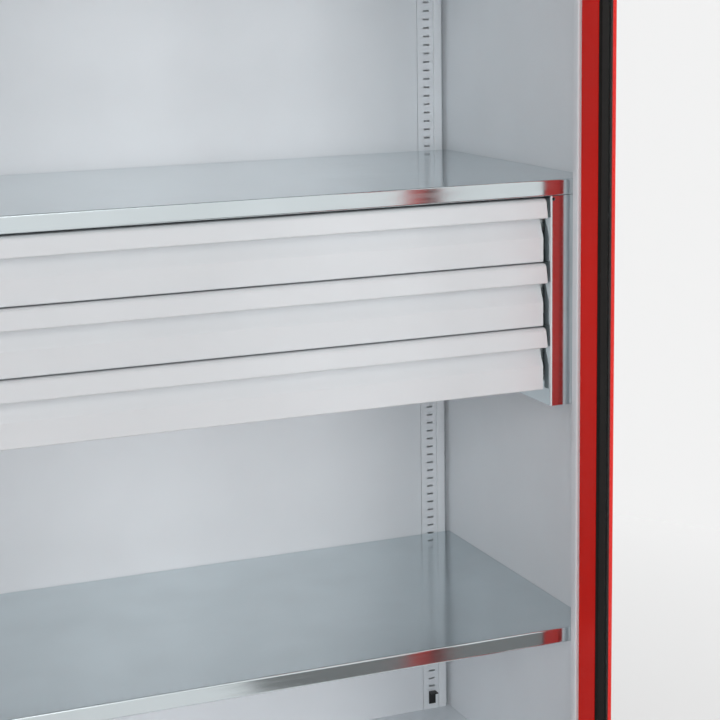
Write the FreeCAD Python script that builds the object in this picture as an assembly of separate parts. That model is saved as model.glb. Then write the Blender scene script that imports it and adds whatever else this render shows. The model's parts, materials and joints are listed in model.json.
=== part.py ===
import FreeCAD, Part
import cmath
import math
import os

# Heavy-duty storage cabinet of folded sheet steel, with shelves, a hung block of three drawers and
# two window doors. Millimetres, X to the right, -Y to the front, Z up. The origin is the centre of
# the body's footprint on the floor. The doors stand open at a right angle, the drawers are shut
# and the lock is released.

# Body
WIDTH = 1200.0
DEPTH = 568.0
HEIGHT = 1950.0
SHEET = 1.5
BEND = 2.5
PLINTH_HEIGHT = 50.0
PLINTH_SIDE_INSET = 20.0
PLINTH_FRONT_INSET = 30.0
PLINTH_REAR_INSET = 20.0
PLINTH_LIP = 25.0
BASE_HEIGHT = 40.0
TOP_HEIGHT = 60.0
PAN_LIP = 40.0
POST_WIDTH = 48.0
POST_RETURN = 11.6
REAR_POST_WIDTH = 25.0
REAR_POST_DEPTH = 16.0
REAR_POST_LIP = 15.0
WELD_GAP = 0.5
SEAM = 0.8
WALL_HOLE_RADIUS = 4.5
WALL_HOLE_SPACING = 900.0
WALL_HOLE_DROP = 90.0

# Slotted uprights
UPRIGHT_WIDTH = 31.0
FRONT_UPRIGHT_DEPTH = 10.4
FRONT_UPRIGHT_INSET = 4.0
SLOT_WIDTH = 11.5
SLOT_HEIGHT = 3.0
SLOT_PITCH = 15.0
FRONT_SLOT_PITCH = 75.0
FRONT_SLOT_START = 30.0
SLOT_OFFSET = 17.6
SLOT_MARGIN = 9.0

# Shelves and their clips
LOWER_SHELF_TOP = 435.0
UPPER_SHELF_TOP = 1147.5
TOP_SHELF_TOP = 1567.5
SHELF_EDGE = 25.0
SHELF_LIP = 20.0
SHELF_GAP = 0.5
UPRIGHT_CLEARANCE = 0.3
STIFFENER_WIDTH = 60.0
STIFFENER_HEIGHT = 22.0
STIFFENER_END = 38.0
CLIP_SHEET = 2.0
CLIP_WIDTH = 13.0
CLIP_LEDGE = 14.0
CLIP_RISE = 5.0
CLIP_FOOT = 4.5
CLIP_PLAY = 0.3
HOOK_DROP = 3.0
SPARE_CLIP_TOP = 125.0

# Hung drawer block
BLOCK_HEIGHT = 326.0
BLOCK_INSET = 81.5
BLOCK_FLANGE_GAP = 1.0
BLOCK_BEND = 3.0
BLOCK_REAR_GAP = 5.5
BLOCK_REAR_FLANGE = 20.0
BLOCK_TOP_FLANGE = 25.0
RELIEF_RADIUS = 2.5
RAIL_HEIGHT = 30.0
RAIL_DEPTH = 22.0
BOLT_NECK = 6.0
BOLT_HOLE = 6.6
BOLT_HEAD_WIDTH = 10.0
BOLT_HEAD_HEIGHT = 4.0
BOLT_NUT_HEIGHT = 5.0
BOLT_FROM_WEB = 13.5
BOLT_FROM_EDGE = 13.0

# Drawers
DRAWER_COUNT = 3
DRAWER_PITCH = 100.0
DRAWER_HEIGHT = 98.3
DRAWER_TOP_GAP = 4.1
DRAWER_SIDE_GAP = 5.0
DRAWER_SHEET = 1.2
LIP_CROWN = 5.2
LIP_CROWN_RADIUS = 8.0
LIP_SLOPE = 25.0
LIP_SLOPE_RADIUS = 20.0
LIP_FACE = 29.5
GRIP_DEPTH = 27.0
GRIP_TOP = 31.0
PANEL_SETBACK = 14.0
PANEL_TOP = 60.7
FRONT_BEND = 1.8
TRAY_LENGTH = 448.5
TRAY_TOP_DROP = 18.0
TRAY_BOTTOM_GAP = 6.3
TRAY_LIP = 7.0

# Telescopic slides
SLIDE_SPACE = 14.0
SLIDE_SHEET = 1.5
SLIDE_HEIGHT = 46.0
SLIDE_FLANGE = 12.0
SLIDE_SIDE_GAP = 1.0
SLIDE_RUNNING_GAP = 0.4
SLIDE_DROP = 58.0
SLIDE_END = 2.0

# Doors
DOOR_THICKNESS = 26.0
DOOR_SHEET = 1.5
DOOR_RADIUS = 2.5
DOOR_LIFT = 28.0
DOOR_HEAD = 20.0
DOOR_STANDOFF = 7.0
DOOR_MIDDLE_GAP = 3.0
PIVOT_INSET = 10.0
HINGE_STILE = 55.0
LOCK_STILE = 95.0
DOOR_RAIL = 95.0
WINDOW_RETURN = 6.5
LINER_GAP = 0.3
GASKET_WIDTH = 8.0
GASKET_LIP = 1.0
GASKET_BACK = 2.0
PANE_THICKNESS = 4.0
PANE_BACK = 12.0
PANE_BITE = 4.0
STRIP_LEG = 30.0
STRIP_REACH = 20.0
STRIP_STEP = 1.0
STRIP_SLOPE = 4.0
STRIP_END = 14.0
BUFFER_SIZE = 12.0
BUFFER_X = 80.0
BUFFER_RISE = 14.0
BUFFER_GAP = 0.3

# Hinges
PIN_RADIUS = 4.0
PIN_CLEARANCE = 0.05
PIN_NECK = 8.0
PIN_GRIP = 11.0
PIN_HEAD_WIDTH = 13.0
PIN_HEAD_HEIGHT = 3.0
BUSH_WIDTH = 14.0
BUSH_LENGTH = 12.0
BUSH_PROUD = 1.6
BRACKET_SHEET = 4.0
BRACKET_WIDTH = 28.0
BRACKET_NOSE = 12.0
BRACKET_BEVEL = 6.0
BRACKET_LEG = 16.0
BRACKET_GAP = 2.0

# Lock
LOCK_HEIGHT = 1010.0
LOCK_FROM_EDGE = 43.5
SPINDLE_RADIUS = 6.0
BASE_WIDTH = 34.0
BASE_BELOW = 24.0
BASE_ABOVE = 58.0
BASE_THICKNESS = 10.0
BASE_CORNER = 5.0
HANDLE_BEVEL = 1.5
CYLINDER_RADIUS = 9.0
CYLINDER_RISE = 36.0
CYLINDER_DEPTH = 9.0
CYLINDER_PROUD = 1.5
KEY_SLOT = (1.6, 8.0, 3.0)
HUB_RADIUS = 13.0
HUB_GAP = 0.4
HUB_HEIGHT = 13.0
LEVER_LENGTH = 112.0
LEVER_WIDTH = 20.0
LEVER_TIP_WIDTH = 15.0
LEVER_TIP_RADIUS = 5.0
LEVER_THICKNESS = 9.0
ROD_WIDTH = 16.0
ROD_THICKNESS = 4.0
ROD_BACK = 9.0
ROD_TRAVEL = 18.0
ROD_END = 12.0
ROD_TIP_GAP = 2.0
ROD_SLOT_PLAY = 0.5
CAM_HALF_LENGTH = 18.5
CAM_HALF_WIDTH = 8.0
CAM_THICKNESS = 4.0
CAM_GAP = 1.0
CAM_PIN_RADIUS = 3.0
GUIDE_SIZE = 16.0
GUIDE_WALL = 5.0
GUIDE_PLAY = 0.3
GUIDE_SHARES = (0.33, 0.87)

# A corner of this radius or less is drawn sharp
SHARP = 1.2

# Planes that follow from the sizes
HALF_WIDTH = WIDTH / 2
FRONT = -DEPTH / 2
REAR = DEPTH / 2
WALL_INNER = HALF_WIDTH - SHEET
BASE_TOP = PLINTH_HEIGHT + BASE_HEIGHT
CEILING = HEIGHT - TOP_HEIGHT
WALL_HOLE_HEIGHT = CEILING - WALL_HOLE_DROP
BACK_PLANE = REAR - REAR_POST_DEPTH
POST_INNER = HALF_WIDTH - POST_WIDTH
POST_BACK = FRONT + POST_RETURN
REAR_UPRIGHT_X = HALF_WIDTH - REAR_POST_WIDTH - SEAM - UPRIGHT_WIDTH
FRONT_UPRIGHT_X = POST_INNER + FRONT_UPRIGHT_INSET
FRONT_UPRIGHT_FACE = POST_BACK + FRONT_UPRIGHT_DEPTH
SHELF_FRONT = FRONT_UPRIGHT_FACE + UPRIGHT_CLEARANCE
SHELF_REAR = BACK_PLANE - SHELF_GAP
SHELF_HALF = WALL_INNER - SHELF_GAP
SHELF_TOPS = (LOWER_SHELF_TOP, UPPER_SHELF_TOP, TOP_SHELF_TOP)

BLOCK_TOP = UPPER_SHELF_TOP - SHELF_EDGE
BLOCK_LOW = BLOCK_TOP - BLOCK_HEIGHT
BLOCK_INNER = HALF_WIDTH - BLOCK_INSET
BLOCK_REAR = SHELF_REAR - BLOCK_REAR_GAP
BOLT_X = BLOCK_INNER + BOLT_FROM_WEB
BOLT_PLACES = [(x, y) for x in (-BOLT_X, BOLT_X)
               for y in (SHELF_FRONT + BOLT_FROM_EDGE, SHELF_REAR - BOLT_FROM_EDGE)]
FRONT_HALF = BLOCK_INNER - DRAWER_SIDE_GAP
TRAY_HALF = BLOCK_INNER - SLIDE_SPACE
TRAY_FRONT = SHELF_FRONT + GRIP_DEPTH + DRAWER_SHEET
TRAY_REAR = TRAY_FRONT + TRAY_LENGTH

DOOR_LOW = PLINTH_HEIGHT + DOOR_LIFT
DOOR_TOP = HEIGHT - DOOR_HEAD
DOOR_INNER_X = POST_INNER
PIVOT_X = DOOR_INNER_X + DOOR_THICKNESS / 2
PIVOT_Y = FRONT - DOOR_STANDOFF - DOOR_THICKNESS / 2
HINGE_EDGE_Y = PIVOT_Y + PIVOT_INSET
DOOR_WIDTH = PIVOT_X + PIVOT_INSET - DOOR_MIDDLE_GAP / 2
WINDOW = (HINGE_STILE, DOOR_WIDTH - LOCK_STILE, DOOR_LOW + DOOR_RAIL, DOOR_TOP - DOOR_RAIL)
GASKET_FRONT = DOOR_THICKNESS - WINDOW_RETURN
PIVOT = (PIVOT_INSET, DOOR_THICKNESS / 2)

LOCK_U = DOOR_WIDTH - LOCK_FROM_EDGE
CAM_THROW = ROD_TRAVEL / math.sqrt(2)
ROD_REACH = ROD_TRAVEL / 2
ROD_OFFSET = (ROD_REACH + CAM_THROW) / 2
UPPER_ROD_U = LOCK_U + ROD_OFFSET
LOWER_ROD_U = LOCK_U - ROD_OFFSET
CAM_BACK = ROD_BACK + ROD_THICKNESS + CAM_GAP
CAM_FRONT = CAM_BACK + CAM_THICKNESS
CYLINDER_Z = LOCK_HEIGHT + CYLINDER_RISE

ORIGIN = FreeCAD.Vector(0, 0, 0)
UP = FreeCAD.Vector(0, 0, 1)
TO_SPACE = {
    "xy": lambda a, b: FreeCAD.Vector(a, b, 0),
    "yz": lambda a, b: FreeCAD.Vector(0, a, b),
    "xz": lambda a, b: FreeCAD.Vector(a, 0, b),
}
NORMAL = {"xy": UP, "yz": FreeCAD.Vector(1, 0, 0), "xz": FreeCAD.Vector(0, 1, 0)}


def box(x, y, z):
    """Box between the low and high values of each axis."""
    size = (x[1] - x[0], y[1] - y[0], z[1] - z[0])
    return Part.makeBox(*size, FreeCAD.Vector(x[0], y[0], z[0]))


def both(value):
    """The span from minus a value to plus it."""
    return (-value, value)


def around(middle, half):
    """The span of half a width to each side of a middle."""
    return (middle - half, middle + half)


def fused(pieces):
    """One solid of pieces that meet."""
    return pieces[0].multiFuse(pieces[1:]).removeSplitter()


def mirrored(shape):
    """The same piece for the other side of the cabinet."""
    return shape.mirror(ORIGIN, FreeCAD.Vector(1, 0, 0))


def pair(shape):
    """A piece and its mirror image, in one node."""
    return Part.makeCompound([shape, mirrored(shape)])


def round_edges(solid, radius, test):
    """Rounds the edges for which the test of their middle holds."""
    return solid.makeFillet(radius, [edge for edge in solid.Edges if test(edge.CenterOfMass)])


def bevel_edges(solid, size, test):
    """Bevels the edges for which the test of their middle holds."""
    return solid.makeChamfer(size, [edge for edge in solid.Edges if test(edge.CenterOfMass)])


def path_edges(plane, points, radii):
    """Lines and arcs through the points, each corner rounded to its radius."""
    place = TO_SPACE[plane]
    edges = []
    start = points[0]
    for before, corner, after, radius in zip(points, points[1:], points[2:], radii):
        arrive = (corner - before) / abs(corner - before)
        leave = (after - corner) / abs(after - corner)
        turn = cmath.phase(leave / arrive)
        if radius <= SHARP or abs(turn) < 1e-6:
            edges.append(Part.makeLine(place(start.real, start.imag), place(corner.real, corner.imag)))
            start = corner
            continue
        reach = radius * math.tan(abs(turn) / 2)
        first = corner - arrive * reach
        last = corner + leave * reach
        centre = first + arrive * 1j * math.copysign(radius, turn)
        middle = centre + (corner - centre) / abs(corner - centre) * radius
        edges.append(Part.makeLine(place(start.real, start.imag), place(first.real, first.imag)))
        arc = Part.Arc(*(place(point.real, point.imag) for point in (first, middle, last)))
        edges.append(arc.toShape())
        start = last
    end = points[-1]
    edges.append(Part.makeLine(place(start.real, start.imag), place(end.real, end.imag)))
    return edges


def outline(plane, corners, radii):
    """Face inside closed corners, each rounded to its radius."""
    corners = [complex(*corner) for corner in corners]
    start = (corners[-1] + corners[0]) / 2
    if not isinstance(radii, list):
        radii = [radii] * len(corners)
    return Part.Face(Part.Wire(path_edges(plane, [start, *corners, start], radii)))


def strip(plane, path, thickness, bends):
    """Section of a folded sheet along a path; a positive thickness lies to the left of the path."""
    near = [complex(*point) for point in path]
    if not isinstance(bends, list):
        bends = [bends] * (len(path) - 2)
    headings = [(b - a) / abs(b - a) for a, b in zip(near, near[1:])]
    normals = [heading * 1j for heading in headings]
    far = [near[0] + normals[0] * thickness]
    near_radii = []
    far_radii = []
    for corner, first, second, bend in zip(near[1:], normals, normals[1:], bends):
        far.append(corner + (first + second) * thickness / (1 + (first * second.conjugate()).real))
        inner = max(bend - abs(thickness), 0)
        outside = cmath.phase(second / first) * thickness > 0
        near_radii.append(bend if outside else inner)
        far_radii.append(inner if outside else bend)
    far.append(near[-1] + normals[-1] * thickness)
    place = TO_SPACE[plane]
    edges = path_edges(plane, near, near_radii)
    edges.append(Part.makeLine(place(near[-1].real, near[-1].imag), place(far[-1].real, far[-1].imag)))
    edges += path_edges(plane, far[::-1], far_radii[::-1])
    edges.append(Part.makeLine(place(far[0].real, far[0].imag), place(near[0].real, near[0].imag)))
    return Part.Face(Part.Wire(Part.__sortEdges__(edges)))


def prism(plane, face, span):
    """Solid of a face drawn in a plane, from the low to the high end of its span."""
    moved = face.copy()
    moved.translate(NORMAL[plane] * span[0])
    return moved.extrude(NORMAL[plane] * (span[1] - span[0]))


def cylinder(centre, radius, span, plane="xy"):
    """Cylinder square to a plane, about a centre in it, over a span along the plane's normal."""
    start = TO_SPACE[plane](*centre) + NORMAL[plane] * span[0]
    return Part.makeCylinder(radius, span[1] - span[0], start, NORMAL[plane])


def square_post(centre, width, span):
    """Upright square bar about a centre, over a span of heights."""
    return box(around(centre[0], width / 2), around(centre[1], width / 2), span)


def slot_heights(pitch, first):
    """Centres of the slots that fit between the floor and the ceiling of the cabinet."""
    count = int((CEILING - SLOT_MARGIN - first) // pitch) + 1
    heights = [first + pitch * step for step in range(count)]
    return [height for height in heights if height >= BASE_TOP + SLOT_MARGIN]


def slot_below(height, pitch, first):
    """The highest slot centre at or below a height."""
    return first + pitch * math.floor((height - first) / pitch)


def body_pan(face, rim):
    """Folded pan of the body's outline, with its lips at the rim."""
    low, high = sorted((face, rim))
    outer = round_edges(box(both(HALF_WIDTH), (FRONT, REAR), (low, high)), BEND,
                        lambda middle: abs(middle.z - face) < SHEET)
    hollow = box(both(WALL_INNER), (FRONT + SHEET, REAR - SHEET), (low + SHEET, high - SHEET))
    mouth = box(both(HALF_WIDTH - PAN_LIP), (FRONT + PAN_LIP, REAR - PAN_LIP), around(rim, 2 * SHEET))
    return outer.cut(hollow).cut(mouth)


def plinth():
    """Folded ring under the base, set back from the body's sides."""
    half = HALF_WIDTH - PLINTH_SIDE_INSET
    front = FRONT + PLINTH_FRONT_INSET
    rear = REAR - PLINTH_REAR_INSET
    outer = box(both(half), (front, rear), (0, PLINTH_HEIGHT))
    hollow = box(both(half - SHEET), (front + SHEET, rear - SHEET), (SHEET, PLINTH_HEIGHT - SHEET))
    middle = box(both(half - PLINTH_LIP), (front + PLINTH_LIP, rear - PLINTH_LIP), (0, PLINTH_HEIGHT))
    return outer.cut(hollow).cut(middle)


def side_wall():
    """Right wall, front post and rear post, folded from one sheet."""
    path = [
        (WALL_INNER - WELD_GAP, POST_BACK),
        (POST_INNER, POST_BACK),
        (POST_INNER, FRONT),
        (HALF_WIDTH, FRONT),
        (HALF_WIDTH, REAR),
        (HALF_WIDTH - REAR_POST_WIDTH, REAR),
        (HALF_WIDTH - REAR_POST_WIDTH, BACK_PLANE),
        (HALF_WIDTH - REAR_POST_WIDTH + REAR_POST_LIP, BACK_PLANE),
    ]
    return prism("xy", strip("xy", path, SHEET, BEND), (BASE_TOP, CEILING))


def back_panel():
    """Pan between the rear uprights, with two holes for fixing the cabinet to a wall."""
    half = REAR_UPRIGHT_X - SEAM
    path = [(-half, REAR - SHEET), (-half, BACK_PLANE), (half, BACK_PLANE), (half, REAR - SHEET)]
    panel = prism("xy", strip("xy", path, SHEET, SHARP), (BASE_TOP, CEILING))
    for x in both(WALL_HOLE_SPACING / 2):
        through = (BACK_PLANE - SHEET, BACK_PLANE + 2 * SHEET)
        panel = panel.cut(cylinder((x, WALL_HOLE_HEIGHT), WALL_HOLE_RADIUS, through, "xz"))
    return panel


def upright(inner_x, face, rear, pitch, first):
    """Right-hand box section with slots in its face, from the face to its rear side."""
    outer_x = inner_x + UPRIGHT_WIDTH
    depth = sorted((face, rear))
    length = (BASE_TOP, CEILING)
    hollow = box((inner_x + SHEET, outer_x - SHEET), (depth[0] + SHEET, depth[1] - SHEET), length)
    section = box((inner_x, outer_x), depth, length).cut(hollow)
    across = around(inner_x + SLOT_OFFSET, SLOT_WIDTH / 2)
    through = around(face, 2 * SHEET)
    slots = [box(across, through, around(height, SLOT_HEIGHT / 2)) for height in slot_heights(pitch, first)]
    return section.cut(Part.makeCompound(slots))


def shelf(top):
    """Shelf folded down on all sides, with lips at the front and rear."""
    low = top - SHELF_EDGE
    path = [
        (SHELF_FRONT + SHELF_LIP, low),
        (SHELF_FRONT, low),
        (SHELF_FRONT, top),
        (SHELF_REAR, top),
        (SHELF_REAR, low),
        (SHELF_REAR - SHELF_LIP, low),
    ]
    sheet = prism("yz", strip("yz", path, -SHEET, BEND), both(SHELF_HALF))
    inside = (SHELF_FRONT + SHEET, SHELF_REAR - SHEET)
    ends = pair(box((SHELF_HALF - SHEET, SHELF_HALF), inside, (low, top - SHEET)))
    return fused([sheet, *ends.Solids])


def bolt_holes(height):
    """Square holes for the necks of the bolts through a sheet at a height."""
    through = around(height, 2 * SHEET)
    return Part.makeCompound([square_post(place, BOLT_HOLE, through) for place in BOLT_PLACES])


def drilled_shelf(top):
    """Shelf with holes in its lips for the bolts of the drawer block."""
    low = top - SHELF_EDGE
    return shelf(top).cut(bolt_holes(low))


def shelf_stiffener(top):
    """Channel welded under a shelf."""
    high = top - SHEET
    low = high - STIFFENER_HEIGHT
    half = STIFFENER_WIDTH / 2
    path = [(-half, high), (-half, low), (half, low), (half, high)]
    return prism("yz", strip("yz", path, SHEET, SHARP), both(SHELF_HALF - STIFFENER_END))


def clip(inner_x, face, toward, ledge, slots):
    """Clip hooked into an upright's slots; its ledge stands out of the face, towards +Y or -Y."""
    x = inner_x + SLOT_OFFSET
    low = slots[-1] - CLIP_FOOT
    path = [(face, low), (face, ledge), (face + toward * CLIP_LEDGE, ledge)]
    pieces = [prism("yz", strip("yz", path, -toward * CLIP_SHEET, SHARP), around(x, CLIP_WIDTH / 2))]
    tab_x = around(x, SLOT_WIDTH / 2 - CLIP_PLAY)
    hook_face = face - toward * (SHEET + CLIP_PLAY)
    hook_back = hook_face - toward * CLIP_SHEET
    for slot in slots:
        tab_z = around(slot, SLOT_HEIGHT / 2 - CLIP_PLAY)
        pieces.append(box(tab_x, sorted((face, hook_back)), tab_z))
        pieces.append(box(tab_x, sorted((hook_face, hook_back)), (tab_z[0] - HOOK_DROP, tab_z[1])))
    return fused(pieces)


def shelf_clips():
    """Four clips under each shelf, and a spare one low on the right rear upright."""
    clips = []
    for top in SHELF_TOPS:
        ledge = top - SHELF_EDGE
        upper = slot_below(ledge - CLIP_RISE, SLOT_PITCH, 0)
        rear = clip(REAR_UPRIGHT_X, BACK_PLANE, -1, ledge, (upper, upper - SLOT_PITCH))
        hook = slot_below(ledge - CLIP_RISE, FRONT_SLOT_PITCH, FRONT_SLOT_START)
        front = clip(FRONT_UPRIGHT_X, FRONT_UPRIGHT_FACE, 1, ledge, (hook,))
        clips += [rear, mirrored(rear), front, mirrored(front)]
    upper = slot_below(SPARE_CLIP_TOP - CLIP_RISE, SLOT_PITCH, 0)
    clips.append(clip(REAR_UPRIGHT_X, BACK_PLANE, -1, SPARE_CLIP_TOP, (upper, upper - SLOT_PITCH)))
    return Part.makeCompound(clips)


def block_side():
    """Right side plate of the drawer block; its front flange is notched round the shelf clip."""
    path = [
        (BLOCK_INNER + BLOCK_REAR_FLANGE, BLOCK_REAR),
        (BLOCK_INNER, BLOCK_REAR),
        (BLOCK_INNER, SHELF_FRONT),
        (SHELF_HALF - BLOCK_FLANGE_GAP, SHELF_FRONT),
    ]
    plate = prism("xy", strip("xy", path, SHEET, [SHARP, BLOCK_BEND]), (BLOCK_LOW, BLOCK_TOP))
    flange = box((BLOCK_INNER + SHEET / 2, BLOCK_INNER + BLOCK_TOP_FLANGE),
                 (SHELF_FRONT + SHEET / 2, BLOCK_REAR - SHEET / 2), (BLOCK_TOP - SHEET, BLOCK_TOP))
    relief = cylinder((BLOCK_INNER + 2 * RELIEF_RADIUS, BLOCK_TOP - 2 * RELIEF_RADIUS), RELIEF_RADIUS,
                      around(SHELF_FRONT, 2 * SHEET), "xz")
    foot = slot_below(BLOCK_TOP - CLIP_RISE, FRONT_SLOT_PITCH, FRONT_SLOT_START) - CLIP_FOOT
    notch = box(around(FRONT_UPRIGHT_X + SLOT_OFFSET, CLIP_WIDTH / 2 + CLIP_PLAY),
                around(SHELF_FRONT, 2 * SHEET), (foot - CLIP_PLAY, BLOCK_TOP))
    return fused([plate, flange]).cut(relief).cut(notch).cut(bolt_holes(BLOCK_TOP))


def block_cross_rails():
    """Angles that tie the two side plates at the rear."""
    rails = []
    for edge, inward in ((BLOCK_TOP, -1), (BLOCK_LOW, 1)):
        path = [(BLOCK_REAR - RAIL_DEPTH, edge), (BLOCK_REAR, edge), (BLOCK_REAR, edge + inward * RAIL_HEIGHT)]
        rails.append(prism("yz", strip("yz", path, inward * SHEET, SHARP), both(BLOCK_INNER)))
    return Part.makeCompound(rails)


def hexagon(centre, width, span):
    """Six-sided head or nut."""
    middle = complex(*centre)
    corner = width / math.sqrt(3)
    corners = [middle + cmath.rect(corner, math.radians(60 * step)) for step in range(6)]
    face = outline("xy", [(point.real, point.imag) for point in corners], SHARP)
    return prism("xy", face, span)


def block_bolts():
    """Bolts and nuts that hang the drawer block from the upper shelf."""
    bolts = []
    head = BLOCK_TOP - SHEET
    nut = BLOCK_TOP + SHEET
    for place in BOLT_PLACES:
        bolts.append(fused([
            hexagon(place, BOLT_HEAD_WIDTH, (head - BOLT_HEAD_HEIGHT, head)),
            square_post(place, BOLT_NECK, (head, nut)),
            hexagon(place, BOLT_HEAD_WIDTH, (nut, nut + BOLT_NUT_HEIGHT)),
        ]))
    return Part.makeCompound(bolts)


def drawer_top(number):
    """Height of a drawer's lip; drawer 1 is the highest."""
    return BLOCK_TOP - DRAWER_TOP_GAP - DRAWER_PITCH * (number - 1)


def drawer_front(number):
    """Folded front with a rounded lip over a finger groove, closed by a plate at each end."""
    top = drawer_top(number)
    profile = [
        (GRIP_DEPTH + DRAWER_SHEET, 0),
        (LIP_CROWN, 0),
        (0, LIP_SLOPE),
        (0, LIP_FACE),
        (GRIP_DEPTH, GRIP_TOP),
        (PANEL_SETBACK, PANEL_TOP),
        (PANEL_SETBACK, DRAWER_HEIGHT),
        (GRIP_DEPTH + DRAWER_SHEET, DRAWER_HEIGHT),
    ]
    path = [(SHELF_FRONT + setback, top - drop) for setback, drop in profile]
    bends = [LIP_CROWN_RADIUS, LIP_SLOPE_RADIUS, FRONT_BEND, FRONT_BEND, FRONT_BEND, FRONT_BEND]
    sheet = prism("yz", strip("yz", path, DRAWER_SHEET, bends), both(FRONT_HALF))
    groove = 3
    end_radii = [0 if corner == groove else bend for corner, bend in enumerate(bends)]
    end = outline("yz", path, [0, *end_radii, 0])
    ends = pair(prism("yz", end, (FRONT_HALF - DRAWER_SHEET, FRONT_HALF)))
    return fused([sheet, *ends.Solids])


def drawer_tray(number):
    """Open tray behind the front: a floor sheet, four walls welded on it and a lip along each side."""
    high = drawer_top(number) - TRAY_TOP_DROP
    low = drawer_top(number) - DRAWER_HEIGHT + TRAY_BOTTOM_GAP
    floor_top = low + DRAWER_SHEET
    front_back = TRAY_FRONT + DRAWER_SHEET
    rear_front = TRAY_REAR - DRAWER_SHEET
    side = pair(box((TRAY_HALF - DRAWER_SHEET, TRAY_HALF), (front_back, rear_front), (floor_top, high)))
    lip = pair(box((TRAY_HALF, TRAY_HALF + TRAY_LIP), (TRAY_FRONT, TRAY_REAR), (high - DRAWER_SHEET, high)))
    return Part.makeCompound([
        box(both(TRAY_HALF), (TRAY_FRONT, TRAY_REAR), (low, floor_top)),
        box(both(TRAY_HALF), (TRAY_FRONT, front_back), (floor_top, high)),
        box(both(TRAY_HALF), (rear_front, TRAY_REAR), (floor_top, high)),
        *side.Solids,
        *lip.Solids,
    ])


def slide_member(number, near, far, half_height, opens_inward):
    """Both sides' C-channels of a slide; near and far are distances from the block's side plate."""
    middle = drawer_top(number) - SLIDE_DROP
    web, edge = (near, far) if opens_inward else (far, near)
    path = [(BLOCK_INNER - edge, middle - half_height), (BLOCK_INNER - web, middle - half_height),
            (BLOCK_INNER - web, middle + half_height), (BLOCK_INNER - edge, middle + half_height)]
    sheet = SLIDE_SHEET if opens_inward else -SLIDE_SHEET
    section = strip("xz", path, sheet, SHARP)
    return pair(prism("xz", section, (TRAY_FRONT + SLIDE_END, TRAY_REAR - SLIDE_END)))


def slide_members(number):
    """The outer, middle and inner members, nested with running gaps."""
    outer_half = SLIDE_HEIGHT / 2
    middle_half = outer_half - SLIDE_SHEET - SLIDE_RUNNING_GAP
    inner_half = middle_half - SLIDE_SHEET - SLIDE_RUNNING_GAP
    middle_near = SLIDE_SHEET + SLIDE_SIDE_GAP
    inner_near = middle_near + SLIDE_SHEET + SLIDE_SIDE_GAP
    return {
        f"slide_outer_{number}": slide_member(number, 0, SLIDE_FLANGE, outer_half, True),
        f"slide_middle_{number}": slide_member(number, middle_near, SLIDE_FLANGE, middle_half, True),
        f"slide_inner_{number}": slide_member(number, inner_near, SLIDE_SPACE, inner_half, False),
    }


def on_door(shape):
    """Moves a piece from the door's own frame to the right door, open at a right angle.

    In the door's own frame X runs from the hinge edge to the closing edge and Y from the inner to
    the outer face.
    """
    moved = shape.copy()
    moved.rotate(ORIGIN, UP, -90)
    moved.translate(FreeCAD.Vector(DOOR_INNER_X, HINGE_EDGE_Y, 0))
    return moved


def window_area(grow):
    """Outline of the door's window, grown on all sides."""
    u0, u1 = WINDOW[0] - grow, WINDOW[1] + grow
    z0, z1 = WINDOW[2] - grow, WINDOW[3] + grow
    return outline("xz", [(u0, z0), (u1, z0), (u1, z1), (u0, z1)], SHARP)


def window_ring(outer_grow, inner_grow, span):
    """Frame between two outlines of the window."""
    return prism("xz", window_area(outer_grow), span).cut(prism("xz", window_area(inner_grow), span))


def door_shell(with_lock):
    """Outer skin, perimeter edges and window return of a door, in the door's own frame."""
    outer = round_edges(
        box((0, DOOR_WIDTH), (0, DOOR_THICKNESS), (DOOR_LOW, DOOR_TOP)), DOOR_RADIUS,
        lambda middle: abs(middle.y - DOOR_THICKNESS) < DOOR_SHEET)
    hollow = box((DOOR_SHEET, DOOR_WIDTH - DOOR_SHEET), (-DOOR_SHEET, DOOR_THICKNESS - DOOR_SHEET),
                 (DOOR_LOW + DOOR_SHEET, DOOR_TOP - DOOR_SHEET))
    window = prism("xz", window_area(0), (DOOR_THICKNESS - 2 * DOOR_SHEET, DOOR_THICKNESS + DOOR_SHEET))
    edge_return = window_ring(DOOR_SHEET, 0, (GASKET_FRONT, DOOR_THICKNESS - DOOR_SHEET / 2))
    cuts = []
    for height in (DOOR_LOW, DOOR_TOP):
        cuts.append(square_post(PIVOT, BUSH_WIDTH + 2 * PIN_CLEARANCE, around(height, 2 * DOOR_SHEET)))
    if with_lock:
        cuts.append(cylinder((LOCK_U, LOCK_HEIGHT), SPINDLE_RADIUS + GUIDE_PLAY,
                             around(DOOR_THICKNESS, 2 * DOOR_SHEET), "xz"))
        for u, height in ((UPPER_ROD_U, DOOR_TOP), (LOWER_ROD_U, DOOR_LOW)):
            cuts.append(box(*rod_passage(u, ROD_SLOT_PLAY), around(height, 2 * DOOR_SHEET)))
    return fused([outer.cut(hollow).cut(window), edge_return]).cut(Part.makeCompound(cuts))


def door_liner():
    """Inner skin of a door, with a flange round the window that holds the gasket."""
    inset = DOOR_SHEET + LINER_GAP
    skin = box((inset, DOOR_WIDTH - inset), (0, DOOR_SHEET), (DOOR_LOW + inset, DOOR_TOP - inset))
    skin = skin.cut(prism("xz", window_area(GASKET_WIDTH), (-DOOR_SHEET, 2 * DOOR_SHEET)))
    flange = window_ring(GASKET_WIDTH + DOOR_SHEET, GASKET_WIDTH, (DOOR_SHEET / 2, GASKET_FRONT))
    return fused([skin, flange])


def door_gasket():
    """Rubber frame round the window, grooved for the pane."""
    frame = window_ring(GASKET_WIDTH, -GASKET_LIP, (GASKET_BACK, GASKET_FRONT))
    return frame.cut(prism("xz", window_area(PANE_BITE), (PANE_BACK, PANE_BACK + PANE_THICKNESS)))


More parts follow.
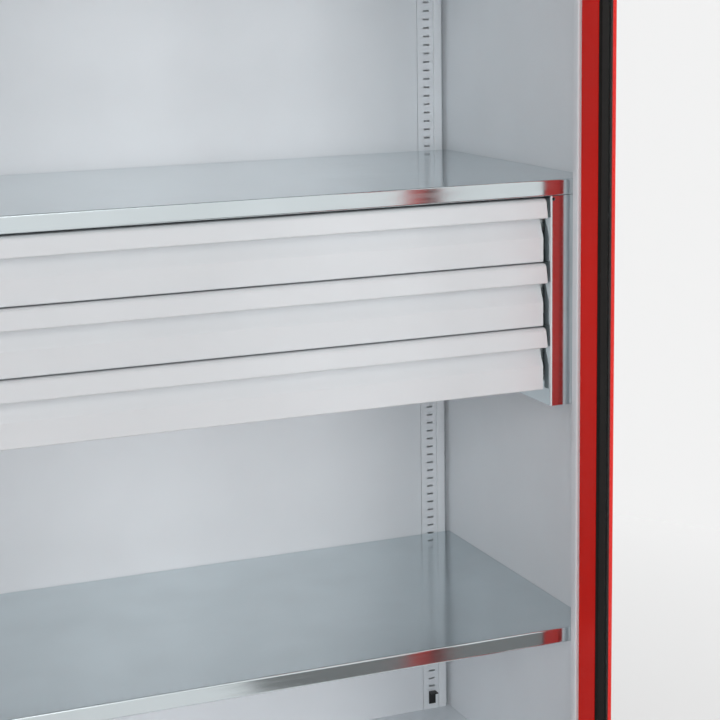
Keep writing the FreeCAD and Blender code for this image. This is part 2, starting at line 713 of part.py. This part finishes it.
def door_pane():
    """Clear pane held in the gasket."""
    area = window_area(PANE_BITE - LINER_GAP)
    return prism("xz", area, (PANE_BACK, PANE_BACK + PANE_THICKNESS))


def door_bushes():
    """Square bushes in the door's lower and upper edges, a little proud of them and bored for the pins."""
    bushes = []
    for edge, outward in ((DOOR_LOW, -1), (DOOR_TOP, 1)):
        span = sorted((edge + outward * BUSH_PROUD, edge - outward * BUSH_LENGTH))
        bore = cylinder(PIVOT, PIN_RADIUS + PIN_CLEARANCE, span)
        bushes.append(square_post(PIVOT, BUSH_WIDTH, span).cut(bore))
    return Part.makeCompound(bushes)


def door_levels():
    """Edge of the door, direction away from it and height of the facing bracket plate."""
    return ((DOOR_LOW, -1, DOOR_LOW - BRACKET_GAP), (DOOR_TOP, 1, DOOR_TOP + BRACKET_GAP))


def bracket(x, plate, outward, half_width, hole):
    """Angle on the front of the body: a plate that faces the door's edge, and a leg away from it."""
    front = PIVOT_Y - BRACKET_NOSE
    corners = [
        (x - half_width, FRONT),
        (x - half_width, front + BRACKET_BEVEL),
        (x - half_width + BRACKET_BEVEL, front),
        (x + half_width - BRACKET_BEVEL, front),
        (x + half_width, front + BRACKET_BEVEL),
        (x + half_width, FRONT),
    ]
    face = outline("xy", corners, SHARP)
    flat = prism("xy", face, sorted((plate, plate + outward * BRACKET_SHEET)))
    leg = box(around(x, half_width), (FRONT - BRACKET_SHEET, FRONT), sorted((plate, plate + outward * BRACKET_LEG)))
    return fused([flat.cut(hole), leg])


def hinge_brackets():
    """Four brackets welded to the body that carry the hinge pins."""
    brackets = []
    for _, outward, plate in door_levels():
        hole = square_post((PIVOT_X, PIVOT_Y), PIN_NECK + 2 * PIN_CLEARANCE, around(plate, 2 * BRACKET_SHEET))
        piece = bracket(PIVOT_X, plate, outward, BRACKET_WIDTH / 2, hole)
        brackets += [piece, mirrored(piece)]
    return Part.makeCompound(brackets)


def hinge_pins():
    """Headed pins, held by square necks in the brackets and round in the doors' bushes."""
    pins = []
    for edge, outward, plate in door_levels():
        seat = plate + outward * BRACKET_SHEET
        shank = sorted((edge - outward * PIN_GRIP, plate))
        head = sorted((seat, seat + outward * PIN_HEAD_HEIGHT))
        centre = (PIVOT_X, PIVOT_Y)
        pin = fused([
            cylinder(centre, PIN_RADIUS, shank),
            square_post(centre, PIN_NECK, sorted((plate, seat))),
            hexagon(centre, PIN_HEAD_WIDTH, head),
        ])
        pins += [pin, mirrored(pin)]
    return Part.makeCompound(pins)


def door_buffers():
    """Rubber stops on the body's front rails that the closed doors rest on."""
    length = DOOR_STANDOFF - BUFFER_GAP
    stops = []
    for height in (BASE_TOP - BUFFER_RISE / 2, CEILING + BUFFER_RISE):
        spans = (around(BUFFER_X, BUFFER_SIZE / 2), (FRONT - length, FRONT), around(height, BUFFER_SIZE / 2))
        stops.append(pair(box(*spans)))
    return Part.makeCompound([stop for group in stops for stop in group.Solids])


def closing_strip():
    """Joggled strip on the inside of the left door that covers the gap between the doors."""
    path = [
        (DOOR_WIDTH - STRIP_LEG, 0),
        (DOOR_WIDTH - STRIP_SLOPE - DOOR_SHEET, 0),
        (DOOR_WIDTH - DOOR_SHEET, -STRIP_STEP),
        (DOOR_WIDTH + STRIP_REACH, -STRIP_STEP),
    ]
    section = strip("xy", path, -DOOR_SHEET, SHARP)
    return prism("xy", section, (DOOR_LOW + STRIP_END, DOOR_TOP - STRIP_END))


def rod_passage(u, play):
    """Spans across and through the door that a locking rod fills, with play round it."""
    return around(u, ROD_WIDTH / 2 + play), (ROD_BACK - play, ROD_BACK + ROD_THICKNESS + play)


def locking_rod(u, outward, tip, turn):
    """Flat rod with a cross slot at its end for the cam's pin."""
    pin_z = LOCK_HEIGHT - outward * ROD_REACH
    rod = box(*rod_passage(u, 0), sorted((pin_z - outward * ROD_END, tip)))
    reach = CAM_THROW - ROD_REACH
    middle = LOCK_U + turn * (CAM_THROW + ROD_REACH) / 2
    half_length = reach / 2 + CAM_PIN_RADIUS + ROD_SLOT_PLAY
    half_height = CAM_PIN_RADIUS + ROD_SLOT_PLAY
    corners = [(middle - half_length, pin_z - half_height), (middle + half_length, pin_z - half_height),
               (middle + half_length, pin_z + half_height), (middle - half_length, pin_z + half_height)]
    slot = prism("xz", outline("xz", corners, SHARP), (ROD_BACK - 1, ROD_BACK + ROD_THICKNESS + 1))
    return rod.cut(slot)


def lock_cam():
    """Bar across the spindle with one pin for each rod."""
    bar = [complex(u, z) * cmath.rect(1, -math.pi / 4) + complex(LOCK_U, LOCK_HEIGHT)
           for u in both(CAM_HALF_LENGTH) for z in (-u / CAM_HALF_LENGTH * CAM_HALF_WIDTH,
                                                    u / CAM_HALF_LENGTH * CAM_HALF_WIDTH)]
    face = outline("xz", [(point.real, point.imag) for point in bar], SHARP)
    pieces = [prism("xz", face, (CAM_BACK, CAM_FRONT))]
    for side in (1, -1):
        place = (LOCK_U + side * ROD_REACH, LOCK_HEIGHT - side * ROD_REACH)
        pieces.append(cylinder(place, CAM_PIN_RADIUS, (ROD_BACK - CAM_GAP, CAM_FRONT), "xz"))
    return fused(pieces)


def rod_guides():
    """Blocks inside the door's lock stile that the rods run through."""
    guides = []
    for u, end in ((UPPER_ROD_U, DOOR_TOP), (LOWER_ROD_U, DOOR_LOW)):
        for share in GUIDE_SHARES:
            height = around(LOCK_HEIGHT + share * (end - LOCK_HEIGHT), GUIDE_SIZE / 2)
            span = (ROD_BACK - GUIDE_WALL + DOOR_SHEET, DOOR_THICKNESS - DOOR_SHEET)
            block = box(around(u, ROD_WIDTH / 2 + GUIDE_WALL), span, height)
            guides.append(block.cut(box(*rod_passage(u, GUIDE_PLAY), height)))
    return Part.makeCompound(guides)


def handle_base():
    """Plate with cut corners on the lock stile, bored for the spindle and the key cylinder."""
    face = DOOR_THICKNESS + BASE_THICKNESS
    u0, u1 = around(LOCK_U, BASE_WIDTH / 2)
    z0, z1 = LOCK_HEIGHT - BASE_BELOW, LOCK_HEIGHT + BASE_ABOVE
    cut = BASE_CORNER
    corners = [(u0 + cut, z0), (u1 - cut, z0), (u1, z0 + cut), (u1, z1 - cut),
               (u1 - cut, z1), (u0 + cut, z1), (u0, z1 - cut), (u0, z0 + cut)]
    area = outline("xz", corners, SHARP)
    plate = bevel_edges(prism("xz", area, (DOOR_THICKNESS, face)), HANDLE_BEVEL,
                        lambda middle: abs(middle.y - face) < HANDLE_BEVEL / 2)
    bore = cylinder((LOCK_U, LOCK_HEIGHT), SPINDLE_RADIUS + PIN_CLEARANCE, (DOOR_THICKNESS, face), "xz")
    pocket = cylinder((LOCK_U, CYLINDER_Z), CYLINDER_RADIUS + PIN_CLEARANCE,
                      (face - CYLINDER_DEPTH, face), "xz")
    return plate.cut(bore).cut(pocket)


def handle_lever():
    """Lever, hub and spindle; released, the lever points to the hinge side."""
    centre = (LOCK_U, LOCK_HEIGHT)
    low = DOOR_THICKNESS + BASE_THICKNESS + HUB_GAP
    high = low + HUB_HEIGHT
    half, tip = LEVER_WIDTH / 2, LEVER_TIP_WIDTH / 2
    end = LOCK_U - LEVER_LENGTH
    corners = [(LOCK_U, LOCK_HEIGHT - half), (LOCK_U, LOCK_HEIGHT + half),
               (end, LOCK_HEIGHT + tip), (end, LOCK_HEIGHT - tip)]
    radii = [SHARP, SHARP, LEVER_TIP_RADIUS, LEVER_TIP_RADIUS]
    arm = prism("xz", outline("xz", corners, radii), (high - LEVER_THICKNESS, high))
    hub = cylinder(centre, HUB_RADIUS, (low, high), "xz")
    grip = bevel_edges(fused([arm, hub]), HANDLE_BEVEL, lambda middle: abs(middle.y - high) < HANDLE_BEVEL / 2)
    spindle = cylinder(centre, SPINDLE_RADIUS, (CAM_FRONT, low + HUB_GAP), "xz")
    return fused([grip, spindle])


def lock_cylinder():
    """Key cylinder in the handle base."""
    face = DOOR_THICKNESS + BASE_THICKNESS
    plug = cylinder((LOCK_U, CYLINDER_Z), CYLINDER_RADIUS, (face - CYLINDER_DEPTH, face + CYLINDER_PROUD), "xz")
    width, height, depth = KEY_SLOT
    slot = box(around(LOCK_U, width / 2), (face + CYLINDER_PROUD - depth, face + CYLINDER_PROUD),
               around(CYLINDER_Z, height / 2))
    return plug.cut(slot)


def lock_keepers():
    """Brackets on the body whose slots take the tips of the locking rods when the door is shut."""
    keepers = []
    for (_, outward, plate), u in zip(door_levels(), (LOWER_ROD_U, UPPER_ROD_U)):
        x = PIVOT_X + PIVOT_INSET - u
        across = around(x, ROD_WIDTH / 2 + ROD_SLOT_PLAY)
        back = FRONT - DOOR_STANDOFF - ROD_BACK
        through = (back - ROD_THICKNESS - ROD_SLOT_PLAY, back + ROD_SLOT_PLAY)
        slot = box(across, through, around(plate, 2 * BRACKET_SHEET))
        keepers.append(bracket(x, plate, outward, BRACKET_WIDTH / 2, slot))
    return Part.makeCompound(keepers)


def nodes():
    """Every named piece of the cabinet."""
    wall = side_wall()
    rear_upright = upright(REAR_UPRIGHT_X, BACK_PLANE, REAR - SHEET, SLOT_PITCH, 0)
    front_upright = upright(FRONT_UPRIGHT_X, FRONT_UPRIGHT_FACE, POST_BACK, FRONT_SLOT_PITCH,
                            FRONT_SLOT_START)
    side_plate = block_side()
    liner = on_door(door_liner())
    gasket = on_door(door_gasket())
    pane = on_door(door_pane())
    bushes = on_door(door_bushes())
    upper_tip = DOOR_TOP - ROD_TIP_GAP
    lower_tip = DOOR_LOW + ROD_TIP_GAP
    pieces = {
        "plinth": plinth(),
        "base_tray": body_pan(BASE_TOP, PLINTH_HEIGHT),
        "top_panel": body_pan(HEIGHT, CEILING),
        "side_wall_right": wall,
        "side_wall_left": mirrored(wall),
        "back_panel": back_panel(),
        "upright_rear_right": rear_upright,
        "upright_rear_left": mirrored(rear_upright),
        "upright_front_right": front_upright,
        "upright_front_left": mirrored(front_upright),
        "shelf_lower": shelf(LOWER_SHELF_TOP),
        "shelf_upper": drilled_shelf(UPPER_SHELF_TOP),
        "shelf_top": shelf(TOP_SHELF_TOP),
        "shelf_stiffeners": Part.makeCompound([shelf_stiffener(top) for top in SHELF_TOPS]),
        "shelf_clips": shelf_clips(),
        "block_side_right": side_plate,
        "block_side_left": mirrored(side_plate),
        "block_cross_rails": block_cross_rails(),
        "block_bolts": block_bolts(),
        "door_shell_right": on_door(door_shell(True)),
        "door_shell_left": mirrored(on_door(door_shell(False))),
        "door_liner_right": liner,
        "door_liner_left": mirrored(liner),
        "door_gasket_right": gasket,
        "door_gasket_left": mirrored(gasket),
        "door_pane_right": pane,
        "door_pane_left": mirrored(pane),
        "door_bushes_right": bushes,
        "door_bushes_left": mirrored(bushes),
        "closing_strip": mirrored(on_door(closing_strip())),
        "hinge_brackets": hinge_brackets(),
        "hinge_pins": hinge_pins(),
        "door_buffers": door_buffers(),
        "handle_base": on_door(handle_base()),
        "handle_lever": on_door(handle_lever()),
        "lock_cylinder": on_door(lock_cylinder()),
        "lock_cam": on_door(lock_cam()),
        "rod_upper": on_door(locking_rod(UPPER_ROD_U, 1, upper_tip, 1)),
        "rod_lower": on_door(locking_rod(LOWER_ROD_U, -1, lower_tip, -1)),
        "rod_guides": on_door(rod_guides()),
        "lock_keepers": lock_keepers(),
    }
    for number in range(1, DRAWER_COUNT + 1):
        pieces[f"drawer_front_{number}"] = drawer_front(number)
        pieces[f"drawer_tray_{number}"] = drawer_tray(number)
        pieces.update(slide_members(number))
    return pieces


os.makedirs("parts", exist_ok=True)
for name, shape in nodes().items():
    shape.exportStep(f"parts/{name}.step")
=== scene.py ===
"""Looks of the storage cabinet: finishes, gasket beads, floor, light and camera.

Lengths are in metres in the cabinet's frame: +X to the right, -Y to the front, +Z up.
"""

import json
import math

import bpy
from mathutils import Euler, Matrix, Vector


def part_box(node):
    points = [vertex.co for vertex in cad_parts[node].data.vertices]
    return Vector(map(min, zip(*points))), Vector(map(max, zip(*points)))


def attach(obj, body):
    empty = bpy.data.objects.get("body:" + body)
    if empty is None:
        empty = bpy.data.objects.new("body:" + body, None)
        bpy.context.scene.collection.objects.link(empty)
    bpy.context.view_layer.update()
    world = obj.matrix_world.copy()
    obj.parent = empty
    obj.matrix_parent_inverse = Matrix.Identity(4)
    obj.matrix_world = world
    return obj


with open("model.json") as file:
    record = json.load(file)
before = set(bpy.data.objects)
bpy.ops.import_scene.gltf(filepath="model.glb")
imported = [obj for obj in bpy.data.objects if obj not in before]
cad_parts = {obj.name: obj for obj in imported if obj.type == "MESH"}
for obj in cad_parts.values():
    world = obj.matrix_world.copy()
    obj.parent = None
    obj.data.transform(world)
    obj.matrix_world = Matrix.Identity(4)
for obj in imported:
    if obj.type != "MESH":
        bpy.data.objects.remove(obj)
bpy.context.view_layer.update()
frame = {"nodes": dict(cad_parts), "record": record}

# Camera: a long lens from the left front, looking a little down at the right half of the interior.
IMAGE_SIZE = 720
FOCAL_PIXELS = 1772.7
SENSOR_WIDTH = 36.0
CAMERA_PLACE = (-0.7875, -2.6153, 1.449)
CAMERA_YAW = -20.87
CAMERA_PITCH = -9.32
CAMERA_ROLL = -1.20
CAMERA_SHIFT = (0.0833, -0.12)

# Radius over which a folded or cut edge of the sheet catches light.
EDGE_SOFTNESS = 0.0008
EDGE_SAMPLES = 4

# Powder paint. Scales of patterns are features per metre, here and below.
PAINT_TONE_SCALE = 5
PAINT_TONE_RANGE = (0.97, 1.02)
PAINT_GLOSS_SCALE = 40
PAINT_GLOSS_DRIFT = 0.03
ORANGE_PEEL_SCALE = 900
ORANGE_PEEL_DEPTH = 0.00002

# Zinc-coated sheet: rolling marks are long along X.
ZINC_TONE_SCALE = 9
ZINC_TONE_RANGE = (0.96, 1.03)
ROLLING_SCALE = 30
ROLLING_STRETCH = (0.25, 8, 8)
ROLLING_DEPTH = 0.0000015

# Moulded plastic and rubber.
MOULD_TONE_SCALE = 60
MOULD_TONE_RANGE = (0.9, 1.1)
MOULD_GLOSS_SCALE = 90
MOULD_GLOSS_DRIFT = 0.05
MOULD_GRAIN_SCALE = 1400
MOULD_GRAIN_DEPTH = 0.00002

# Clear pane: its tint, how little of it is opaque, and its wipe marks, long along Z.
PANE_TINT = (0.5, 0.53, 0.52, 1)
PANE_INDEX = 1.49
PANE_OPAQUE = 0.05
WIPE_SCALE = 14
WIPE_STRETCH = (1, 1, 0.4)
WIPE_ROUGHNESS = (0.0, 0.03)

# Gasket beads: rounded ridges along the rubber frame, by their distance from its outer edge.
BEAD_INSETS = (0.0014, 0.0054)
BEAD_RADIUS = 0.0013
BEAD_FACETS = 3

# Surroundings: the backdrop's colour as the camera sees it, and the even light on the object.
BACKDROP = (0.95, 0.95, 0.95, 1)
SKY_LIGHT = 0.05

# Floor: its own colour, and how much of the backdrop covers it from the object outwards.
FLOOR_SIZE = 16.0
FLOOR_DROP = 0.0005
FLOOR_COLOUR = (0.86, 0.86, 0.86)
FLOOR_TONE_RANGE = (0.99, 1.01)
FLOOR_FADE = (0.9, 2.2)
FLOOR_COVER = (0.72, 1.0)

# Card on the floor in front, seen only in reflections, and its tone: a painted dark reflection in the
# lower steel edges.
CARD_SPAN = (0.35, 1.9)
CARD_DEPTH = (-2.6, -0.75)
CARD_LIFT = 0.004
CARD_COLOUR = (0.2, 0.2, 0.2)
CARD_TONE_RANGE = (0.95, 1.05)
STAGE_TONE_SCALE = 2

# Lamps: place, width and height, and power in watts. Only the high one shows in reflections.
LAMP_TARGET = (0, 0, 1.0)
LAMPS = {
    "front_light": {"place": (1.5, -5.2, 1.6), "size": (1.6, 1.2), "power": 80},
    "middle_light": {"place": (-0.5, -5.4, 1.45), "size": (1.6, 1.2), "power": 17},
    "left_light": {"place": (-2.9, -4.6, 2.0), "size": (2.6, 2.4), "power": 110},
    "high_light": {"place": (0.3, -4.2, 3.6), "size": (1.4, 0.6), "power": 12, "in_gloss": True},
    "top_light": {"place": (0, -1.6, 4.4), "size": (2.4, 2.0), "power": 18},
    "right_light": {"place": (2.9, -3.9, 2.1), "size": (2.4, 2.4), "power": 27},
    "rear_light": {"place": (1.6, 4.6, 2.6), "size": (2.6, 2.4), "power": 110},
}


def linear(code):
    """Linear colour of an sRGB hex code."""
    channels = [int(code[i:i + 2], 16) / 255 for i in (0, 2, 4)]
    return tuple(c / 12.92 if c <= 0.04045 else ((c + 0.055) / 1.055) ** 2.4 for c in channels)


def shade(colour, factor):
    """A colour made darker or lighter."""
    return tuple(channel * factor for channel in colour)


class Nodes:
    """Short way to add nodes to a new material's tree and link them."""

    def __init__(self, name):
        self.material = bpy.data.materials.new(name)
        self.material.use_nodes = True
        self.tree = self.material.node_tree
        self.tree.nodes.clear()
        self.output = self.add("ShaderNodeOutputMaterial")

    def add(self, kind, inputs=None, **settings):
        """New node; an input is a value or the socket that feeds it."""
        node = self.tree.nodes.new(kind)
        for key, value in settings.items():
            setattr(node, key, value)
        for key, value in (inputs or {}).items():
            if isinstance(value, bpy.types.NodeSocket):
                self.tree.links.new(value, node.inputs[key])
            else:
                node.inputs[key].default_value = value
        return node

    def place(self, stretch=(1, 1, 1)):
        """Coordinates that stay with the piece, in metres, stretched by a scale."""
        coordinates = self.add("ShaderNodeTexCoord").outputs["Object"]
        return self.add("ShaderNodeMapping", {"Vector": coordinates, "Scale": stretch}).outputs[0]

    def noise(self, scale, detail=3.0, stretch=(1, 1, 1)):
        """Soft random pattern."""
        values = {"Vector": self.place(stretch), "Scale": scale, "Detail": detail}
        return self.add("ShaderNodeTexNoise", values).outputs[0]

    def spread(self, value, low, high, start=0.3, end=0.7):
        """A pattern's middle range spread over new limits."""
        values = {0: value, 1: start, 2: end, 3: low, 4: high}
        return self.add("ShaderNodeMapRange", values).outputs[0]

    def tones(self, factor, colour, tone_range):
        """Colour that drifts from its first tone to its last with a factor from 0 to 1."""
        first, last = (shade(colour, tone) for tone in tone_range)
        values = {0: factor, 6: (*first, 1), 7: (*last, 1)}
        return self.add("ShaderNodeMix", values, data_type="RGBA").outputs[2]

    def bump(self, height, depth):
        """Slopes of a skin whose height follows a pattern."""
        return self.add("ShaderNodeBump", {"Height": height, "Distance": depth}).outputs[0]

    def soften(self, skin):
        """The skin's slopes, rounded a little over the sheet's edges."""
        rounded = self.add("ShaderNodeBevel", {"Radius": EDGE_SOFTNESS}, samples=EDGE_SAMPLES)
        self.tree.links.new(rounded.outputs[0], skin.node.inputs["Normal"])
        return skin

    def surface(self, **inputs):
        """Finished material, with the shader's inputs by name."""
        values = {name.replace("_", " "): value for name, value in inputs.items()}
        return self.finish(self.add("ShaderNodeBsdfPrincipled", values).outputs[0])

    def finish(self, shader):
        self.tree.links.new(shader, self.output.inputs[0])
        return self.material


def powder_coat(name, code, roughness, gloss=0.5):
    """Baked powder paint: a fine orange-peel skin, and a faint drift in tone and gloss."""
    nodes = Nodes(name)
    drift = nodes.spread(nodes.noise(PAINT_TONE_SCALE), 0, 1)
    low, high = roughness - PAINT_GLOSS_DRIFT, roughness + PAINT_GLOSS_DRIFT
    peel = nodes.noise(ORANGE_PEEL_SCALE, detail=2)
    return nodes.surface(
        Base_Color=nodes.tones(drift, linear(code), PAINT_TONE_RANGE),
        Roughness=nodes.spread(nodes.noise(PAINT_GLOSS_SCALE), low, high),
        Specular_IOR_Level=gloss,
        Normal=nodes.soften(nodes.bump(peel, ORANGE_PEEL_DEPTH)),
    )


def rolled_zinc(name, code, low, high, metal=1.0):
    """Smooth zinc-coated sheet: a blurred mirror with faint rolling marks along X."""
    nodes = Nodes(name)
    marks = nodes.noise(ROLLING_SCALE, detail=4, stretch=ROLLING_STRETCH)
    cloud = nodes.spread(nodes.noise(ZINC_TONE_SCALE, detail=2), 0, 1)
    return nodes.surface(
        Base_Color=nodes.tones(cloud, linear(code), ZINC_TONE_RANGE),
        Metallic=metal,
        Roughness=nodes.spread(marks, low, high),
        Normal=nodes.soften(nodes.bump(marks, ROLLING_DEPTH)),
    )


def moulded(name, code, roughness, gloss=0.5):
    """Moulded plastic or rubber with a fine eroded texture."""
    nodes = Nodes(name)
    drift = nodes.spread(nodes.noise(MOULD_TONE_SCALE), 0, 1)
    low, high = roughness - MOULD_GLOSS_DRIFT, roughness + MOULD_GLOSS_DRIFT
    grain = nodes.noise(MOULD_GRAIN_SCALE, detail=1)
    return nodes.surface(
        Base_Color=nodes.tones(drift, linear(code), MOULD_TONE_RANGE),
        Roughness=nodes.spread(nodes.noise(MOULD_GLOSS_SCALE), low, high),
        Specular_IOR_Level=gloss,
        Normal=nodes.bump(grain, MOULD_GRAIN_DEPTH),
    )


def clear_sheet(name):
    """Clear pane; its gloss varies a little with the wipe marks on it."""
    nodes = Nodes(name)
    wiped = nodes.noise(WIPE_SCALE, detail=4, stretch=WIPE_STRETCH)
    return nodes.surface(
        Base_Color=PANE_TINT,
        Roughness=nodes.spread(wiped, *WIPE_ROUGHNESS),
        IOR=PANE_INDEX,
        Alpha=PANE_OPAQUE,
    )


FINISHES = {
    # The body paint is set lighter than the drawer paint, though both are much the same light grey:
    # painted light that makes up for the shade on the walls inside the cabinet.
    "body_paint": powder_coat("body_paint", "ECF1F5", 0.42),
    "galvanised": rolled_zinc("galvanised", "D2DBDE", 0.1, 0.16, metal=0.97),
    "drawer_paint": powder_coat("drawer_paint", "D1D6D9", 0.34),
    "door_red": powder_coat("door_red", "E6251C", 0.5, gloss=0.1),
    "gasket_rubber": moulded("gasket_rubber", "1A1918", 0.5, gloss=0.2),
    "clear_pane": clear_sheet("clear_pane"),
    "zinc": rolled_zinc("zinc", "C6C8C8", 0.24, 0.36),
    "black_steel": moulded("black_steel", "1D1D1E", 0.45),
    "nylon": moulded("nylon", "DEDDD6", 0.5),
    "handle_black": moulded("handle_black", "1B1B1C", 0.5),
    "lock_chrome": rolled_zinc("lock_chrome", "D6D6D8", 0.06, 0.12),
}


def dress():
    """Each piece gets the finish of its material slot."""
    for part in frame["record"]["subparts"]:
        piece = frame["nodes"][part["node"]]
        piece.data.materials.clear()
        piece.data.materials.append(FINISHES[part["material_slot"]])


def linked(name, data):
    """New object in the scene."""
    holder = bpy.data.objects.new(name, data)
    bpy.context.collection.objects.link(holder)
    return holder


def gasket_bead(side, number, inset):
    """Rounded ridge that runs round a door's gasket, half sunk in its face."""
    low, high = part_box(f"door_gasket_{side}")
    across = low[0] if side == "right" else high[0]
    near, far = low[1] + inset, high[1] - inset
    foot, head = low[2] + inset, high[2] - inset
    data = bpy.data.curves.new(f"gasket_bead_{side}_{number}", "CURVE")
    data.dimensions = "3D"
    data.bevel_depth = BEAD_RADIUS
    data.bevel_resolution = BEAD_FACETS
    corners = ((near, foot), (far, foot), (far, head), (near, head))
    line = data.splines.new("POLY")
    line.points.add(len(corners) - 1)
    for point, (y, z) in zip(line.points, corners):
        point.co = (across, y, z, 1)
    line.use_cyclic_u = True
    data.materials.append(FINISHES["gasket_rubber"])
    bead = linked(data.name, data)
    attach(bead, f"door_{side}")


def area_lamp(name, place, size, power, in_gloss=False):
    """Rectangular lamp that points at the middle of the cabinet's body."""
    lamp = bpy.data.lights.new(name, "AREA")
    lamp.shape = "RECTANGLE"
    lamp.size, lamp.size_y = size
    lamp.energy = power
    holder = linked(name, lamp)
    holder.visible_glossy = in_gloss
    holder.location = place
    aim = Vector(LAMP_TARGET) - Vector(place)
    holder.rotation_euler = aim.to_track_quat("-Z", "Y").to_euler()


def shown_rays(tree):
    """1 for rays that show the surroundings: from the camera, off gloss and through glass."""
    paths = tree.nodes.new("ShaderNodeLightPath")
    shown = paths.outputs["Is Camera Ray"]
    for kind in ("Is Glossy Ray", "Is Transmission Ray"):
        larger = tree.nodes.new("ShaderNodeMath")
        larger.operation = "MAXIMUM"
        tree.links.new(shown, larger.inputs[0])
        tree.links.new(paths.outputs[kind], larger.inputs[1])
        shown = larger.outputs[0]
    return shown


def sky():
    """Even light on the object, and a pale backdrop for the camera and for reflections."""
    world = bpy.data.worlds.new("studio")
    bpy.context.scene.world = world
    world.use_nodes = True
    tree = world.node_tree
    tree.nodes.clear()
    light = tree.nodes.new("ShaderNodeBackground")
    light.inputs["Color"].default_value = (1, 1, 1, 1)
    light.inputs["Strength"].default_value = SKY_LIGHT
    backdrop = tree.nodes.new("ShaderNodeBackground")
    backdrop.inputs["Color"].default_value = BACKDROP
    mix = tree.nodes.new("ShaderNodeMixShader")
    tree.links.new(shown_rays(tree), mix.inputs[0])
    tree.links.new(light.outputs[0], mix.inputs[1])
    tree.links.new(backdrop.outputs[0], mix.inputs[2])
    output = tree.nodes.new("ShaderNodeOutputWorld")
    tree.links.new(mix.outputs[0], output.inputs[0])


def staged_sheet(name, across, depth, height, material):
    """Level rectangle that belongs to the surroundings."""
    (left, right), (front, rear) = across, depth
    mesh = bpy.data.meshes.new(name)
    corners = [(left, front, 0), (right, front, 0), (right, rear, 0), (left, rear, 0)]
    mesh.from_pydata(corners, [], [(0, 1, 2, 3)])
    mesh.materials.append(material)
    sheet = linked(name, mesh)
    sheet.location.z = height
    return sheet


def floor():
    """Large pale floor under the plinth. It keeps the object's shadow, and fades into the backdrop."""
    nodes = Nodes("floor")
    tone = nodes.tones(nodes.noise(STAGE_TONE_SCALE), FLOOR_COLOUR, FLOOR_TONE_RANGE)
    lit = nodes.add("ShaderNodeBsdfDiffuse", {"Color": tone}).outputs[0]
    pale = nodes.add("ShaderNodeEmission", {"Color": BACKDROP}).outputs[0]
    distance = nodes.add("ShaderNodeVectorMath", {0: nodes.place()}, operation="LENGTH")
    cover = nodes.spread(distance.outputs["Value"], *FLOOR_COVER, *FLOOR_FADE)
    seen = nodes.add("ShaderNodeMath", {0: cover, 1: shown_rays(nodes.tree)}, operation="MULTIPLY")
    mix = nodes.add("ShaderNodeMixShader", {0: seen.outputs[0], 1: lit, 2: pale})
    half = FLOOR_SIZE / 2
    staged_sheet("floor", (-half, half), (-half, half), -FLOOR_DROP, nodes.finish(mix.outputs[0]))


def painted_reflection_card():
    """Dark card laid in front, seen only in reflections: it paints a dark reflection into the lower
    steel edges.
    """
    nodes = Nodes("painted_reflection_card")
    tone = nodes.tones(nodes.noise(STAGE_TONE_SCALE), CARD_COLOUR, CARD_TONE_RANGE)
    grey = nodes.add("ShaderNodeEmission", {"Color": tone})
    card = staged_sheet("painted_reflection_card", CARD_SPAN, CARD_DEPTH, CARD_LIFT, nodes.finish(grey.outputs[0]))
    card.visible_camera = False
    card.visible_diffuse = False
    card.visible_transmission = False
    card.visible_shadow = False


def camera():
    """Camera at the photograph's viewing angle."""
    data = bpy.data.cameras.new("photo_view")
    data.sensor_width = SENSOR_WIDTH
    data.lens = FOCAL_PIXELS * SENSOR_WIDTH / IMAGE_SIZE
    data.shift_x, data.shift_y = CAMERA_SHIFT
    holder = linked("photo_view", data)
    holder.location = CAMERA_PLACE
    aim = Euler((math.radians(90 + CAMERA_PITCH), 0, math.radians(CAMERA_YAW))).to_matrix()
    roll = Matrix.Rotation(math.radians(CAMERA_ROLL), 3, "Z")
    holder.rotation_euler = (aim @ roll).to_euler()
    bpy.context.scene.camera = holder


dress()
for side in ("right", "left"):
    for number, inset in enumerate(BEAD_INSETS, 1):
        gasket_bead(side, number, inset)
sky()
floor()
for name, lamp in LAMPS.items():
    area_lamp(name, **lamp)
# Painted dark reflection for the lower steel edges.
painted_reflection_card()
camera()
bpy.context.scene.view_settings.view_transform = "Standard"
